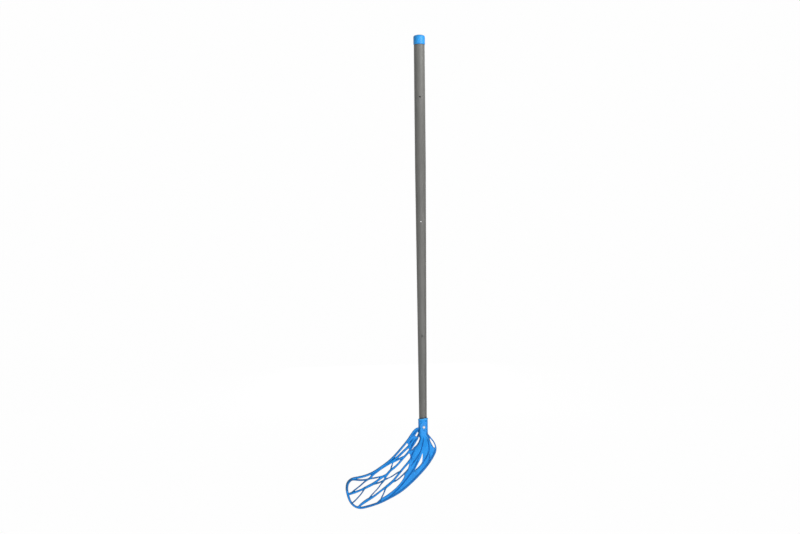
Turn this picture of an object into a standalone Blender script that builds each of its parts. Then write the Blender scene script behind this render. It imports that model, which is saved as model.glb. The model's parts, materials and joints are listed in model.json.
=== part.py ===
"""Floorball stick: tapered tube shaft, end cap and one moulded lattice blade on a blind rivet.

Sizes are in millimetres, +Z points up along the shaft and the origin is the flat top of the end cap.
The blade reaches towards -X and its front faces -Y.
"""
import math

import bmesh
import bpy
from mathutils import Matrix, Vector

MM = 0.001

# Play between pieces that meet, and the curve and circle resolutions
PLAY = 0.3
ROUND_STEPS = 40
CAP_STEPS = 36
SMALL_STEPS = 20
RIM_SIDES = 10
MAIN_RIB_SIDES = 8
THIN_RIB_SIDES = 6
CURVE_STEPS = 2
RIM_CURVE_STEPS = 3
WEB_CURVE_STEPS = 3
CUT_MARGIN = 5.0

# Shaft: a parallel grip, then a straight taper into the blade's socket
GRIP_DIAMETER = 23.0
GRIP_END_DROP = 274.0
TIP_DIAMETER = 15.9
SHAFT_WALL = 2.0
SHAFT_EDGE = 0.6
# Cross holes: drop, diameter, and whether they go through both walls or the front one alone
HOLES = ((132.0, 3.6, True), (394.0, 3.0, True), (636.0, 3.0, False))

# End cap: a domed head with a barbed spigot inside the shaft
CAP_DIAMETER = 24.6
CAP_HEIGHT = 20.0
CAP_FLAT_DIAMETER = 14.0
CAP_CORNER = 3.6
CAP_CROWN = 0.7
CAP_FOOT_EDGE = 0.8
CAP_WALL = 2.2
CAP_BORE_CORNER = 2.0
SPIGOT_LENGTH = 24.0
SPIGOT_RELIEF = 0.7
SPIGOT_NOSE = 1.2
SPIGOT_BARBS = 3
BARB_LIP = 0.3
BARB_LENGTH = 1.8

# Socket: the level that the blade's drops count from, and the tube that grips the shaft
SOCKET_RIM_DROP = 811.0
SOCKET_DIAMETER = 20.2
SOCKET_TUBE_LENGTH = 29.0
SOCKET_DEPTH = 34.0
SOCKET_SLANT = 6.5
MOUTH_RISE = 1.0
LIP_HEIGHT = 3.8
LIP_PROUD = 0.5

# Raised arched panels on the front and back of the socket, where the rivet head seats
PANEL_TOP = 7.2
PANEL_HALF_WIDTH = 6.2
PANEL_ARCH = 6.5
PANEL_FOOT = 37.0
PANEL_RISE = 0.4
PANEL_EDGE = 0.6

# Blind rivet through the front wall of the socket and the shaft
RIVET_DROP = 17.0
RIVET_OFFSET = 1.7
RIVET_DIAMETER = 3.2
RIVET_HEAD_DIAMETER = 6.2
RIVET_HEAD_HEIGHT = 1.0
RIVET_HEAD_EDGE = 0.2
RIVET_HEAD_LAND = 0.6
RIVET_TAIL_DIAMETER = 4.8
RIVET_TAIL_LENGTH = 3.2
RIVET_BORE_DIAMETER = 2.3
MANDREL_DIAMETER = 1.6
MANDREL_EDGE = 0.2
MANDREL_SINK = 0.5
MANDREL_HEAD_DIAMETER = 2.6
MANDREL_HEAD_LENGTH = 1.4
MANDREL_HEAD_CHAMFER = 0.4

# Blade: thickness over width of the rim, the main ribs and the thin ribs, and the plate between them
RIM_ASPECT = 1.75
RIB_ASPECT = 1.4
THIN_RIB_ASPECT = 1.8
WEB_THICKNESS = 5.6
WEB_EDGE = 1.2
# Grooves: the cutter's radius and depth, its thinner ends, and how far those lift off the surface
GROOVE_RADIUS = 1.6
GROOVE_DEPTH = 1.1
GROOVE_END_RADIUS = 0.7
GROOVE_END_LIFT = 0.4

# Blade lines hold (reach, drop, width): reach towards the toe from the shaft's axis, drop below the
# socket's level. The rim runs from the socket round the toe and the heel back to it.
RIM_LINE = (
    (2.0, 21.5, 5.5), (12.0, 21.4, 5.5), (18.2, 25.6, 5.0), (25.9, 35.8, 4.8), (32.5, 45.3, 4.7),
    (47.7, 63.7, 4.8), (69.2, 86.5, 4.9), (90.3, 102.3, 5.0), (106.3, 112.6, 5.1), (118.0, 117.8, 5.1),
    (130.0, 121.4, 5.0), (140.0, 123.5, 5.2), (149.1, 125.5, 5.7), (155.2, 129.0, 6.3),
    (159.8, 134.2, 6.2), (162.3, 144.5, 5.7), (161.2, 155.5, 5.4), (158.8, 164.5, 5.2),
    (154.7, 174.5, 4.9), (147.8, 182.3, 4.7), (139.8, 186.4, 4.9), (131.0, 187.1, 5.1),
    (119.5, 184.7, 5.3), (103.7, 180.1, 5.3), (91.0, 175.5, 5.3), (72.6, 166.6, 5.4),
    (51.5, 154.8, 5.4), (30.6, 138.4, 5.4), (9.3, 117.6, 5.4), (-8.7, 97.1, 5.4), (-21.5, 77.3, 5.0),
    (-25.7, 67.5, 4.4), (-26.0, 58.5, 2.9), (-22.3, 49.5, 2.6), (-16.7, 42.3, 2.8),
    (-10.6, 35.1, 3.6), (-4.0, 28.0, 5.0),
)
MAIN_RIBS = {
    "loop_rib": (
        (4.0, 24.0, 5.0), (12.5, 25.8, 4.6), (16.8, 31.6, 4.0),
        (20.4, 38.0, 4.4), (25.0, 41.2, 4.2), (29.4, 43.0, 3.8),
    ),
    "upper_rib": (
        (11.0, 38.5, 3.4), (15.8, 41.2, 4.6), (23.5, 50.5, 6.0), (31.2, 59.0, 5.6), (41.2, 68.2, 5.1),
        (50.5, 77.2, 5.2), (60.0, 85.3, 5.4), (68.0, 91.2, 5.2), (78.0, 97.4, 5.0), (90.0, 105.0, 4.6),
        (99.0, 111.5, 4.6), (105.5, 116.3, 4.7), (109.7, 120.5, 4.9), (113.0, 124.5, 4.6),
        (118.0, 127.6, 4.0), (123.5, 131.3, 3.2), (133.0, 139.6, 2.7), (146.0, 149.6, 2.7),
        (153.0, 155.0, 2.4), (159.0, 158.0, 2.2),
    ),
    "slit_rib": (
        (7.0, 28.0, 4.4), (10.4, 35.6, 4.2), (14.3, 43.4, 4.4), (18.9, 51.6, 4.8), (24.9, 61.0, 5.2),
        (30.2, 69.2, 5.0), (37.0, 76.8, 4.9), (46.6, 87.6, 4.5), (54.0, 96.0, 4.3), (62.0, 103.2, 4.8),
        (69.2, 108.4, 5.4), (75.0, 114.8, 5.2), (80.0, 122.0, 4.3), (84.0, 130.4, 3.5),
        (89.5, 136.8, 2.6), (95.5, 145.0, 2.2), (103.5, 153.5, 2.1), (110.5, 161.0, 2.4),
        (116.0, 167.5, 2.5), (121.0, 171.8, 2.2),
    ),
    "middle_rib": (
        (162.0, 158.8, 4.0), (155.0, 157.1, 5.6), (147.0, 154.8, 5.2), (137.0, 151.3, 4.6),
        (130.0, 148.4, 4.7), (123.0, 144.8, 5.4), (115.0, 141.0, 5.8), (108.0, 137.4, 5.8),
        (102.0, 133.4, 5.0), (96.5, 129.4, 4.8), (90.5, 124.6, 5.2), (84.5, 121.0, 5.2),
        (79.0, 118.0, 4.6), (74.5, 113.4, 3.6),
    ),
    "lower_rib": (
        (20.5, 76.0, 4.4), (25.7, 84.3, 5.6), (32.3, 93.0, 5.3), (39.7, 101.2, 4.8), (46.5, 109.2, 4.7),
        (52.5, 116.5, 4.7), (60.0, 125.8, 4.5), (66.0, 132.6, 5.4), (73.0, 138.6, 5.8),
        (80.0, 144.3, 5.6), (87.0, 149.2, 4.5), (95.0, 155.3, 4.3), (104.5, 162.5, 4.7),
        (112.0, 167.0, 5.4), (119.0, 170.9, 6.6), (126.0, 175.5, 6.0), (132.5, 180.2, 5.2),
        (138.5, 185.5, 4.0),
    ),
}
THIN_RIBS = {
    "upper_strut": (
        (37.0, 77.0, 2.6), (44.0, 81.5, 4.8), (50.0, 84.3, 4.5), (57.0, 87.9, 3.8), (64.5, 91.5, 3.2),
        (72.0, 94.4, 2.4),
    ),
    "short_strut": ((64.0, 90.0, 2.4), (66.3, 97.5, 2.6), (68.0, 102.5, 2.8), (69.5, 107.5, 2.6)),
    "corner_rib": (
        (155.0, 129.0, 3.0), (147.5, 127.6, 3.8), (138.0, 128.6, 3.7), (130.0, 128.7, 3.6),
        (121.5, 128.0, 3.8), (113.5, 125.9, 3.6), (106.0, 124.9, 3.1), (99.0, 123.6, 3.1),
        (90.5, 121.6, 3.0), (84.0, 120.5, 2.4),
    ),
    "crossing_rib": (
        (110.0, 138.6, 2.4), (101.0, 136.6, 3.0), (92.5, 133.8, 3.0), (84.0, 129.4, 3.0),
        (76.5, 125.8, 2.8), (69.0, 122.6, 2.4), (61.0, 117.6, 2.4), (55.0, 113.7, 2.6),
        (47.5, 110.2, 2.2),
    ),
    "web_rib": (
        (69.0, 135.0, 2.4), (61.0, 131.8, 3.2), (55.0, 128.6, 2.8), (49.0, 123.6, 2.9),
        (43.5, 118.6, 3.0), (38.0, 113.1, 3.0), (33.0, 107.2, 2.4),
    ),
    "sole_strut": (
        (79.0, 144.5, 2.4), (82.1, 151.2, 2.8), (85.0, 158.2, 2.5), (88.2, 164.2, 2.7), (92.0, 173.0, 2.6),
    ),
    "toe_strut": (
        (123.5, 144.5, 2.2), (128.0, 151.8, 2.7), (133.7, 159.6, 2.3), (140.2, 166.7, 2.4),
        (147.2, 173.7, 2.7), (153.0, 178.0, 2.4),
    ),
}

# Outlines hold (reach, drop), and a third value where the outline turns a sharp corner
SHARP = "VECTOR"
# Outline of the web between the neck, the ribs and the sole, with a round bay between each two ribs
WEB_OUTLINE = (
    (4.0, 22.0), (13.0, 22.5), (19.5, 28.0), (26.0, 36.5), (33.0, 46.5), (37.5, 51.6),
    (34.0, 51.8), (32.2, 54.4), (33.0, 57.8), (34.8, 62.2, SHARP), (31.2, 62.8), (29.7, 65.2),
    (30.6, 68.4), (33.2, 72.6, SHARP), (29.6, 73.8), (27.9, 78.0), (28.2, 83.0), (31.8, 92.0, SHARP),
    (30.2, 93.6), (30.4, 97.0), (31.9, 102.4), (35.8, 111.4, SHARP), (39.4, 115.2), (40.4, 119.0),
    (42.0, 124.2), (46.1, 131.0), (52.4, 139.1),
    (60.7, 147.5), (71.0, 155.7), (80.0, 162.0), (88.6, 167.0), (93.6, 170.6), (98.5, 175.2),
    (104.0, 179.5, SHARP), (91.0, 175.6), (72.6, 166.7), (51.5, 154.8), (30.6, 138.4), (9.3, 117.5),
    (-8.6, 97.0), (-21.5, 77.3), (-25.4, 67.5), (-25.0, 61.8), (-22.4, 61.0), (-19.2, 56.6),
    (-16.0, 51.0), (-14.3, 45.3), (-13.2, 40.0), (-8.0, 31.0), (-4.0, 24.0),
)
# Window beside the neck, slit down the side of the fan and long leaf in its middle
WINDOW_OUTLINE = (
    (11.8, 28.4), (13.8, 30.6), (15.9, 33.8), (16.4, 36.6), (14.0, 37.2), (11.4, 35.2), (9.6, 31.0),
)
SLIT_OUTLINE = (
    (7.4, 36.2), (10.4, 42.4), (14.4, 48.8), (18.6, 55.6), (22.4, 61.4), (24.8, 65.4, SHARP),
    (18.0, 64.0), (8.0, 58.0), (3.0, 48.0), (4.0, 40.0),
)
LEAF_OUTLINE = (
    (2.0, 72.0, SHARP), (1.3, 77.6), (1.8, 85.4), (2.8, 92.0), (6.1, 97.3), (11.2, 102.6),
    (19.0, 109.4, SHARP), (14.1, 100.4), (9.4, 91.4), (5.4, 83.0), (3.2, 76.6),
)

# Fan of the neck as level sections: drop, left reach, right reach, half depth, squareness
FAN_SECTIONS = (
    (22.0, 9.8, -9.8, 9.9, 2.0),
    (29.0, 10.2, -10.2, 10.2, 2.2),
    (33.5, 10.1, -10.6, 10.6, 2.6),
    (37.5, 8.9, -11.8, 10.5, 3.0),
    (40.5, 7.6, -13.2, 9.9, 3.0),
    (44.0, 8.0, -14.2, 8.9, 2.8),
    (50.0, 10.4, -16.2, 7.5, 2.6),
    (56.0, 14.5, -19.4, 6.4, 2.6),
    (61.0, 20.6, -22.0, 5.7, 2.6),
    (68.0, 25.5, -24.0, 5.0, 2.8),
    (80.0, 26.0, -19.6, 4.2, 3.0),
    (95.0, 28.5, -8.5, 3.5, 3.0),
    (115.0, 36.0, 9.0, 2.6, 3.0),
)
FAN_STEPS = 36
# Grooves between the ridges that fan out from the neck, as (reach, drop)
GROOVES = {
    "loop": ((14.8, 26.2), (18.2, 30.7), (20.6, 34.2), (23.2, 37.0)),
    "upper": ((21.0, 41.8), (24.2, 45.2), (27.9, 49.9), (30.0, 52.8)),
    "slit": ((13.2, 41.2), (16.4, 45.1), (21.0, 51.6), (25.2, 58.6), (28.2, 64.4)),
    "inner": ((17.6, 63.8), (21.0, 69.2), (24.0, 74.6), (25.7, 80.4), (26.0, 87.0)),
    "middle": (
        (-1.0, 39.2), (0.8, 50.0), (3.2, 61.0), (6.8, 70.5), (12.0, 79.0), (17.0, 86.4), (22.0, 93.0),
        (26.0, 99.0),
    ),
    "outer": (
        (-7.4, 39.2), (-10.3, 46.2), (-11.8, 56.0), (-12.0, 67.0), (-8.8, 76.4), (-3.2, 86.0), (1.2, 94.0),
    ),
    "heel": ((-12.9, 75.0), (-12.6, 83.0), (-10.6, 92.0)),
    "tail": (
        (9.0, 79.0), (13.4, 91.0), (18.6, 102.0), (25.0, 112.4), (34.0, 124.0), (43.0, 135.2),
        (52.2, 145.6), (62.0, 155.0), (74.5, 166.0),
    ),
}

# Values that follow from the sizes above
GRIP_RADIUS = GRIP_DIAMETER / 2
SHAFT_TOP_DROP = CAP_HEIGHT + PLAY
SHAFT_TIP_DROP = SOCKET_RIM_DROP + SOCKET_DEPTH - PLAY
RIVET_Z_DROP = SOCKET_RIM_DROP + RIVET_DROP
PANEL_FACE = SOCKET_DIAMETER / 2 + PANEL_RISE


def shaft_radius(drop):
    """Outer radius of the shaft at a drop below the cap's top."""
    if drop <= GRIP_END_DROP:
        return GRIP_RADIUS
    share = (drop - GRIP_END_DROP) / (SHAFT_TIP_DROP - GRIP_END_DROP)
    return GRIP_RADIUS + share * (TIP_DIAMETER / 2 - GRIP_RADIUS)


def clear_scene():
    for item in list(bpy.data.objects):
        bpy.data.objects.remove(item, do_unlink=True)


def new_collection(name):
    collection = bpy.data.collections.new(name)
    bpy.context.scene.collection.children.link(collection)
    return collection


def make_material(name, colour, roughness, metallic=0.0):
    material = bpy.data.materials.new(name)
    material.use_nodes = True
    shader = material.node_tree.nodes["Principled BSDF"]
    shader.inputs["Base Color"].default_value = (*colour, 1.0)
    shader.inputs["Roughness"].default_value = roughness
    shader.inputs["Metallic"].default_value = metallic
    return material


def add_object(name, data, collection, location=(0.0, 0.0, 0.0)):
    """Link a new object whose location is in millimetres."""
    item = bpy.data.objects.new(name, data)
    item.location = Vector(location) * MM
    collection.objects.link(item)
    return item


def as_guide(item):
    item.hide_render = True
    item.display_type = "WIRE"
    return item


def shade_round(item, angle=35.0):
    item.data.shade_smooth()
    item.data.set_sharp_from_angle(angle=math.radians(angle))


def turned(name, profile, steps, collection, closed=False):
    """Turn a (radius, height) profile about the local Z axis; it runs down its outer side."""
    mesh = bpy.data.meshes.new(name)
    points = [(radius * MM, 0.0, height * MM) for radius, height in profile]
    edges = [(index, index + 1) for index in range(len(points) - 1)]
    if closed:
        edges.append((len(points) - 1, 0))
    mesh.from_pydata(points, edges, [])
    item = add_object(name, mesh, collection)
    screw = item.modifiers.new("Turn", "SCREW")
    screw.axis = "Z"
    screw.angle = math.tau
    screw.steps = steps
    screw.render_steps = steps
    screw.use_merge_vertices = True
    screw.merge_threshold = 0.00001
    return item


def evaluated_mesh(item):
    """The item's mesh with its modifiers, or a curve's tube or plate with its caps welded."""
    bpy.context.view_layer.update()
    evaluated = item.evaluated_get(bpy.context.evaluated_depsgraph_get())
    mesh = bpy.data.meshes.new_from_object(evaluated)
    shape = bmesh.new()
    shape.from_mesh(mesh)
    bmesh.ops.remove_doubles(shape, verts=shape.verts, dist=0.000001)
    bmesh.ops.recalc_face_normals(shape, faces=shape.faces)
    shape.to_mesh(mesh)
    shape.free()
    return mesh


def solid_from_curve(curve_item, aspect=1.0):
    """Replace a curve by its mesh; aspect stretches it across the blade's plane."""
    mesh = evaluated_mesh(curve_item)
    mesh.transform(Matrix.Diagonal((1.0, 1.0, aspect, 1.0)))
    name = curve_item.name
    collection = curve_item.users_collection[0]
    placed = curve_item.matrix_world.copy()
    bpy.data.objects.remove(curve_item, do_unlink=True)
    item = bpy.data.objects.new(name, mesh)
    item.matrix_world = placed
    collection.objects.link(item)
    return item


def stand_in_blade(item):
    """Turn a curve drawn in XY upright, with its origin on the shaft's axis at the socket's level."""
    item.location = (0.0, 0.0, -SOCKET_RIM_DROP * MM)
    item.rotation_euler = (math.pi / 2, 0.0, 0.0)
    bpy.context.view_layer.update()


def draw_line(curve, line):
    """Add an open spline through (reach, drop, width) points."""
    spline = curve.splines.new("BEZIER")
    spline.bezier_points.add(len(line) - 1)
    for knot, (reach, drop, width) in zip(spline.bezier_points, line):
        knot.co = (-reach * MM, -drop * MM, 0.0)
        knot.radius = width / 2
        knot.handle_left_type = "AUTO"
        knot.handle_right_type = "AUTO"


def draw_outline(curve, outline):
    """Add a closed spline through (reach, drop) points, smooth except at its sharp corners."""
    spline = curve.splines.new("BEZIER")
    spline.bezier_points.add(len(outline) - 1)
    spline.use_cyclic_u = True
    for knot, (reach, drop, *corner) in zip(spline.bezier_points, outline):
        knot.co = (-reach * MM, -drop * MM, 0.0)
        handle = corner[0] if corner else "AUTO"
        knot.handle_left_type = handle
        knot.handle_right_type = handle


def rib(name, line, aspect, sides, steps, collection):
    """A flattened tube along a (reach, drop, width) line in the blade's middle plane."""
    curve = bpy.data.curves.new(name, "CURVE")
    curve.dimensions = "3D"
    curve.twist_mode = "Z_UP"
    curve.fill_mode = "FULL"
    curve.resolution_u = steps
    curve.bevel_depth = MM
    curve.bevel_resolution = (sides - 4) // 2
    curve.use_fill_caps = True
    draw_line(curve, line)
    item = add_object(name, curve, collection)
    stand_in_blade(item)
    return as_guide(solid_from_curve(item, aspect))


def plate(name, outlines, thickness, edge, collection):
    """A flat plate with rounded edges; the first outline is its rim and the others are holes."""
    curve = bpy.data.curves.new(name, "CURVE")
    curve.dimensions = "2D"
    curve.fill_mode = "BOTH"
    curve.resolution_u = WEB_CURVE_STEPS
    curve.extrude = (thickness / 2 - edge) * MM
    curve.bevel_depth = edge * MM
    curve.bevel_resolution = 0
    curve.offset = -edge * MM
    for outline in outlines:
        draw_outline(curve, outline)
    item = add_object(name, curve, collection)
    stand_in_blade(item)
    return as_guide(solid_from_curve(item))


def level_ring(shape, drop, left, right, half_depth, squareness, steps):
    """A level superellipse between two reaches, as vertices in world metres."""
    centre = -(left + right) / 2
    half_width = (left - right) / 2
    ring = []
    for step in range(steps):
        angle = math.tau * step / steps
        across, along = math.cos(angle), math.sin(angle)
        x = centre + half_width * math.copysign(abs(across) ** (2 / squareness), across)
        y = half_depth * math.copysign(abs(along) ** (2 / squareness), along)
        ring.append(shape.verts.new(Vector((x, y, -SOCKET_RIM_DROP - drop)) * MM))
    return ring


def loft(name, sections, steps, collection):
    """A closed skin through level sections."""
    shape = bmesh.new()
    rings = [level_ring(shape, *section, steps) for section in sections]
    for upper, lower in zip(rings, rings[1:]):
        for step in range(steps):
            after = (step + 1) % steps
            shape.faces.new((upper[step], lower[step], lower[after], upper[after]))
    shape.faces.new(rings[0])
    shape.faces.new(list(reversed(rings[-1])))
    bmesh.ops.recalc_face_normals(shape, faces=shape.faces)
    mesh = bpy.data.meshes.new(name)
    shape.to_mesh(mesh)
    shape.free()
    mesh.shade_smooth()
    return as_guide(add_object(name, mesh, collection))


def fan_depth(reach, drop):
    """Half depth of the neck's fan at a point of the blade, never under the web's."""
    for upper, lower in zip(FAN_SECTIONS, FAN_SECTIONS[1:]):
        if drop <= lower[0]:
            share = max(0.0, (drop - upper[0]) / (lower[0] - upper[0]))
            left, right, half_depth, squareness = (a + share * (b - a) for a, b in zip(upper[1:], lower[1:]))
            offset = abs(2 * reach - left - right) / (left - right)
            depth = half_depth * max(0.0, 1 - offset ** squareness) ** (1 / squareness)
            return max(depth, WEB_THICKNESS / 2)
    return WEB_THICKNESS / 2


def groove(name, line, side, collection):
    """A round cutter that dips into the fan's surface and lifts out at its ends.

    side is -1 in front and 1 behind.
    """
    curve = bpy.data.curves.new(name, "CURVE")
    curve.dimensions = "3D"
    curve.resolution_u = CURVE_STEPS
    curve.bevel_depth = GROOVE_RADIUS * MM
    curve.bevel_resolution = 2
    curve.use_fill_caps = True
    spline = curve.splines.new("BEZIER")
    spline.bezier_points.add(len(line) - 1)
    ends = (0, len(line) - 1)
    for index, (knot, (reach, drop)) in enumerate(zip(spline.bezier_points, line)):
        if index in ends:
            radius, lift = GROOVE_END_RADIUS, GROOVE_END_RADIUS + GROOVE_END_LIFT
        else:
            radius, lift = GROOVE_RADIUS, GROOVE_RADIUS - GROOVE_DEPTH
        lift += fan_depth(reach, drop)
        knot.co = Vector((-reach, side * lift, -SOCKET_RIM_DROP - drop)) * MM
        knot.radius = radius / GROOVE_RADIUS
        knot.handle_left_type = "AUTO"
        knot.handle_right_type = "AUTO"
    return as_guide(solid_from_curve(add_object(name, curve, collection)))


def combine(item, operation, collection):
    """Join or cut an object with every body of a collection."""
    modifier = item.modifiers.new(operation.title(), "BOOLEAN")
    modifier.operation = operation
    modifier.operand_type = "COLLECTION"
    modifier.collection = collection
    modifier.solver = "EXACT"


def cylinder_along_y(name, radius, start, end, x, drop, collection):
    """A round cutter along Y between two depths."""
    bpy.ops.mesh.primitive_cylinder_add(vertices=SMALL_STEPS, radius=radius * MM, depth=(end - start) * MM)
    item = bpy.context.object
    item.name = name
    item.location = Vector((x, (start + end) / 2, -drop)) * MM
    item.rotation_euler = (math.pi / 2, 0.0, 0.0)
    for owner in list(item.users_collection):
        owner.objects.unlink(item)
    collection.objects.link(item)
    return as_guide(item)


def build_shaft(parts, cutters):
    """Hollow tube with bevelled ends, three cross holes and the rivet's hole."""
    tip_radius = TIP_DIAMETER / 2
    top, taper, tip = -SHAFT_TOP_DROP, -GRIP_END_DROP, -SHAFT_TIP_DROP
    profile = (
        (GRIP_RADIUS - SHAFT_EDGE, top),
        (GRIP_RADIUS, top - SHAFT_EDGE),
        (GRIP_RADIUS, taper),
        (tip_radius, tip + SHAFT_EDGE),
        (tip_radius - SHAFT_EDGE, tip),
        (tip_radius - SHAFT_WALL, tip),
        (GRIP_RADIUS - SHAFT_WALL, taper),
        (GRIP_RADIUS - SHAFT_WALL, top),
    )
    shaft = turned("shaft", profile, ROUND_STEPS, parts, closed=True)
    reach = GRIP_RADIUS + CUT_MARGIN
    for drop, diameter, both_walls in HOLES:
        end = reach if both_walls else 0.0
        cylinder_along_y(f"hole_{drop:.0f}", diameter / 2, -reach, end, 0.0, drop, cutters)
    hole_radius = RIVET_DIAMETER / 2 + PLAY
    cylinder_along_y("rivet_hole_shaft", hole_radius, -reach, 0.0, RIVET_OFFSET, RIVET_Z_DROP, cutters)
    combine(shaft, "DIFFERENCE", cutters)
    return shaft


def cap_dome():
    """Outer corner of the cap's head, from the flat top round to its side."""
    radius = CAP_DIAMETER / 2
    flat = CAP_FLAT_DIAMETER / 2
    corner = [(radius - CAP_CORNER + CAP_CORNER * math.sin(math.radians(angle)),
               -CAP_CROWN - CAP_CORNER + CAP_CORNER * math.cos(math.radians(angle)))
              for angle in (8, 30, 50, 70, 90)]
    return [(0.0, 0.0), (flat, 0.0)] + corner


def build_end_cap(parts):
    """Domed head with a hollow spigot whose barbs grip the shaft's bore."""
    radius = CAP_DIAMETER / 2
    spigot = GRIP_RADIUS - SHAFT_WALL - PLAY
    relief = spigot - SPIGOT_RELIEF
    bore = relief - CAP_WALL
    foot = -CAP_HEIGHT - SPIGOT_LENGTH
    pitch = SPIGOT_LENGTH / (SPIGOT_BARBS + 1)
    profile = cap_dome()
    profile.append((radius, -CAP_HEIGHT + CAP_FOOT_EDGE))
    profile.append((radius - CAP_FOOT_EDGE, -CAP_HEIGHT))
    profile.append((relief, -CAP_HEIGHT))
    for barb in range(1, SPIGOT_BARBS + 1):
        height = -CAP_HEIGHT - barb * pitch
        profile += [(relief, height), (spigot, height - BARB_LIP), (relief, height - BARB_LENGTH)]
    profile += [(relief, foot + SPIGOT_NOSE), (relief - SPIGOT_NOSE, foot), (bore, foot)]
    profile += [(bore, -CAP_WALL - CAP_BORE_CORNER), (bore - CAP_BORE_CORNER, -CAP_WALL), (0.0, -CAP_WALL)]
    return turned("end_cap", profile, CAP_STEPS, parts)


def mouth_height(x):
    """Height of the socket's slanted mouth above the socket's level, across the blade's plane."""
    return MOUTH_RISE + x * math.tan(math.radians(SOCKET_SLANT))


def build_lip(bodies):
    """Rounded band round the slanted mouth of the socket."""
    middle = SOCKET_DIAMETER / 2 + LIP_PROUD - LIP_HEIGHT / 2
    curve = bpy.data.curves.new("lip", "CURVE")
    curve.dimensions = "3D"
    curve.bevel_depth = LIP_HEIGHT / 2 * MM
    curve.bevel_resolution = 2
    spline = curve.splines.new("POLY")
    spline.points.add(ROUND_STEPS - 1)
    spline.use_cyclic_u = True
    for step, point in enumerate(spline.points):
        angle = math.tau * (step + 0.5) / ROUND_STEPS
        x, y = middle * math.cos(angle), middle * math.sin(angle)
        height = mouth_height(x) - LIP_HEIGHT / 2 - SOCKET_RIM_DROP
        point.co = (x * MM, y * MM, height * MM, 1.0)
    return as_guide(solid_from_curve(add_object("lip", curve, bodies)))


def build_panels(bodies):
    """Flat raised panel with an arched top, the same on the socket's front and back."""
    arch = [(PANEL_HALF_WIDTH * math.cos(math.radians(angle)),
             PANEL_TOP + PANEL_ARCH * (1 - math.sin(math.radians(angle))))
            for angle in range(0, 181, 20)]
    outline = arch + [(-PANEL_HALF_WIDTH, PANEL_FOOT), (PANEL_HALF_WIDTH, PANEL_FOOT)]
    curve = bpy.data.curves.new("panels", "CURVE")
    curve.dimensions = "2D"
    curve.fill_mode = "BOTH"
    curve.extrude = (PANEL_FACE - PANEL_EDGE) * MM
    curve.bevel_depth = PANEL_EDGE * MM
    curve.bevel_resolution = 1
    curve.offset = -PANEL_EDGE * MM
    spline = curve.splines.new("POLY")
    spline.points.add(len(outline) - 1)
    spline.use_cyclic_u = True
    for point, (reach, drop) in zip(spline.points, outline):
        point.co = (-reach * MM, -drop * MM, 0.0, 1.0)
    item = add_object("panels", curve, bodies)
    stand_in_blade(item)
    return as_guide(solid_from_curve(item))


def build_socket_tube(parts):
    """Round tube of the socket, closed below, with its mouth cut along the slant."""
    radius = SOCKET_DIAMETER / 2
    mesh = bpy.data.meshes.new("blade")
    shape = bmesh.new()
    bmesh.ops.create_cone(shape, cap_ends=True, segments=ROUND_STEPS, radius1=radius * MM,
                          radius2=radius * MM, depth=SOCKET_TUBE_LENGTH * MM)
    for vertex in shape.verts:
        mouth = mouth_height(vertex.co.x / MM) - LIP_HEIGHT / 2
        vertex.co.z = mouth * MM if vertex.co.z > 0 else -SOCKET_TUBE_LENGTH * MM
    shape.to_mesh(mesh)
    shape.free()
    return add_object("blade", mesh, parts, (0.0, 0.0, -SOCKET_RIM_DROP))


def build_socket_bore(cutters):
    """Tapered bore that takes the shaft's end with the play all round."""
    high = SOCKET_RIM_DROP - SOCKET_DIAMETER
    low = SOCKET_RIM_DROP + SOCKET_DEPTH
    profile = (
        (0.0, -high),
        (shaft_radius(high) + PLAY, -high),
        (TIP_DIAMETER / 2 + PLAY, -low),
        (0.0, -low),
    )
    return as_guide(turned("socket_bore", profile, ROUND_STEPS, cutters))


def build_blade(parts, bodies, cutters):
    """Socket, neck fan, web, rim and ribs as one moulding."""
    blade = build_socket_tube(parts)
    build_lip(bodies)
    build_panels(bodies)
    loft("fan", FAN_SECTIONS, FAN_STEPS, bodies)
    plate("web", (WEB_OUTLINE, WINDOW_OUTLINE, SLIT_OUTLINE), WEB_THICKNESS, WEB_EDGE, bodies)
    rib("rim", RIM_LINE, RIM_ASPECT, RIM_SIDES, RIM_CURVE_STEPS, bodies)
    for name, line in MAIN_RIBS.items():
        rib(name, line, RIB_ASPECT, MAIN_RIB_SIDES, CURVE_STEPS, bodies)
    for name, line in THIN_RIBS.items():
        rib(name, line, THIN_RIB_ASPECT, THIN_RIB_SIDES, CURVE_STEPS, bodies)
    build_socket_bore(cutters)
    plate("leaf", (LEAF_OUTLINE,), 4 * WEB_THICKNESS, 0.0, cutters)
    hole_radius = RIVET_DIAMETER / 2 + PLAY
    reach = PANEL_FACE + CUT_MARGIN
    cylinder_along_y("rivet_hole_socket", hole_radius, -reach, 0.0, RIVET_OFFSET, RIVET_Z_DROP, cutters)
    for name, line in GROOVES.items():
        groove(f"{name}_groove_front", line, -1, cutters)
        groove(f"{name}_groove_back", line, 1, cutters)
    combine(blade, "UNION", bodies)
    combine(blade, "DIFFERENCE", cutters)
    return blade


def rivet_inside():
    """Depth at which the rivet's tail clears the shaft's curved inner wall."""
    inner = shaft_radius(RIVET_Z_DROP) - SHAFT_WALL
    return math.sqrt(inner ** 2 - (RIVET_OFFSET + RIVET_TAIL_DIAMETER / 2) ** 2)


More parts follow.
